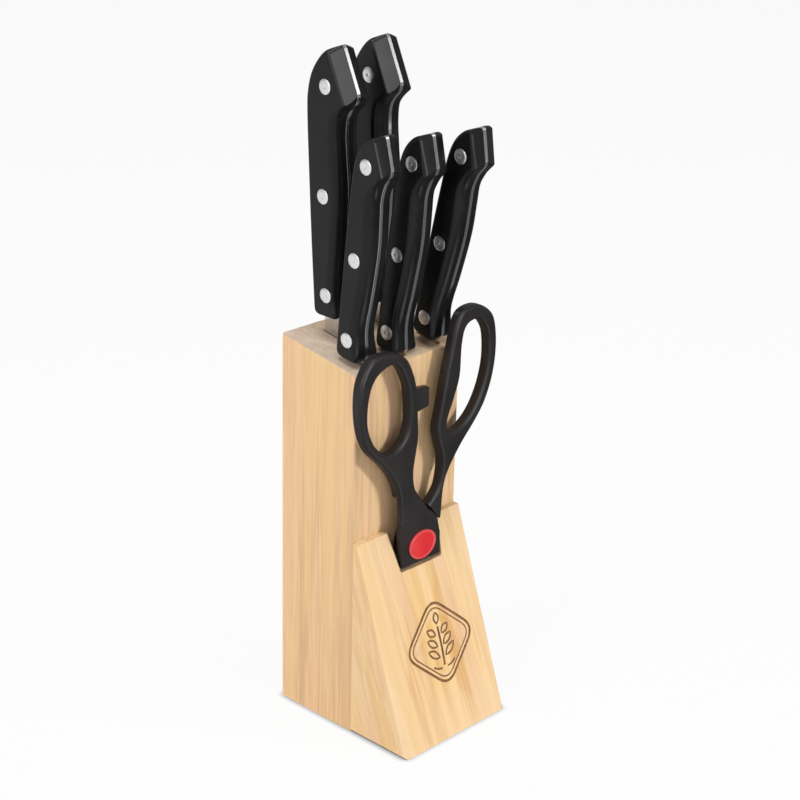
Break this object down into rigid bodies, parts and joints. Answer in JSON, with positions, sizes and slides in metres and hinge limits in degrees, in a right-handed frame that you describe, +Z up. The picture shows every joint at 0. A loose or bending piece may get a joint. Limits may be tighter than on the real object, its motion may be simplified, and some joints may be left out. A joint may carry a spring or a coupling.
{
  "type": "knife block set",
  "caption": "Wooden block with a sloping top and a front wedge, holding riveted full-tang knives in slots and kitchen scissors in a notch.",
  "frame": {"origin": "on the floor, in the middle of the block's own foot, behind the wedge", "axes": "+X across the block to the right, -Y towards the wedge at its front, +Z up"},
  "size_m": [0.0964, 0.09, 0.3415],
  "materials": {
    "board_wood": "satin",
    "wedge_wood": "satin",
    "handle_plastic": "satin",
    "scissors_plastic": "satin",
    "blade_steel": "brushed",
    "rivet_metal": "satin",
    "red_plastic": "satin"
  },
  "bodies": {
    "block": {"block_board_1": "board_wood", "block_board_2": "board_wood", "block_board_3": "board_wood", "block_board_4": "board_wood", "block_board_5": "board_wood", "block_board_6": "board_wood", "block_wedge": "wedge_wood"},
    "chef_knife": {"chef_knife_blade": "blade_steel", "chef_knife_left_scale": "handle_plastic", "chef_knife_right_scale": "handle_plastic", "chef_knife_rivet_1": "rivet_metal", "chef_knife_rivet_2": "rivet_metal", "chef_knife_rivet_3": "rivet_metal"},
    "bread_knife": {"bread_knife_blade": "blade_steel", "bread_knife_left_scale": "handle_plastic", "bread_knife_right_scale": "handle_plastic", "bread_knife_rivet_1": "rivet_metal", "bread_knife_rivet_2": "rivet_metal", "bread_knife_rivet_3": "rivet_metal"},
    "utility_knife": {"utility_knife_blade": "blade_steel", "utility_knife_left_scale": "handle_plastic", "utility_knife_right_scale": "handle_plastic", "utility_knife_rivet_1": "rivet_metal", "utility_knife_rivet_2": "rivet_metal", "utility_knife_rivet_3": "rivet_metal"},
    "boning_knife": {"boning_knife_blade": "blade_steel", "boning_knife_left_scale": "handle_plastic", "boning_knife_right_scale": "handle_plastic", "boning_knife_rivet_1": "rivet_metal", "boning_knife_rivet_2": "rivet_metal", "boning_knife_rivet_3": "rivet_metal"},
    "paring_knife": {"paring_knife_blade": "blade_steel", "paring_knife_left_scale": "handle_plastic", "paring_knife_right_scale": "handle_plastic", "paring_knife_rivet_1": "rivet_metal", "paring_knife_rivet_2": "rivet_metal", "paring_knife_rivet_3": "rivet_metal"},
    "scissors_left": {"scissors_left_handle": "scissors_plastic", "scissors_front_blade": "blade_steel", "scissors_pivot_pin": "rivet_metal", "scissors_pivot_cap": "red_plastic"},
    "scissors_right": {"scissors_right_handle": "scissors_plastic", "scissors_rear_blade": "blade_steel"}
  },
  "joints": [
    {"name": "chef_knife_slide", "type": "slide", "parent": "block", "child": "chef_knife", "axis": [0, 0, 1], "range_m": [0, 0.186]},
    {"name": "bread_knife_slide", "type": "slide", "parent": "block", "child": "bread_knife", "axis": [0, 0, 1], "range_m": [0, 0.183]},
    {"name": "utility_knife_slide", "type": "slide", "parent": "block", "child": "utility_knife", "axis": [0, -0.1288, 0.9917], "range_m": [0, 0.134]},
    {"name": "boning_knife_slide", "type": "slide", "parent": "block", "child": "boning_knife", "axis": [0, -0.1616, 0.9869], "range_m": [0, 0.127]},
    {"name": "paring_knife_slide", "type": "slide", "parent": "block", "child": "paring_knife", "axis": [0, -0.2351, 0.972], "range_m": [0, 0.1]},
    {"name": "scissors_lift", "type": "hinge", "parent": "block", "child": "scissors_left", "pos_m": [0.0016, -0.5507, 0.067], "axis": [1, 0, 0], "range_deg": [0, 12.5]},
    {"name": "scissors_open", "type": "hinge", "parent": "scissors_left", "child": "scissors_right", "pos_m": [0.0016, -0.0307, 0.0957], "axis": [0, 1, 0], "range_deg": [0, 6]}
  ]
}
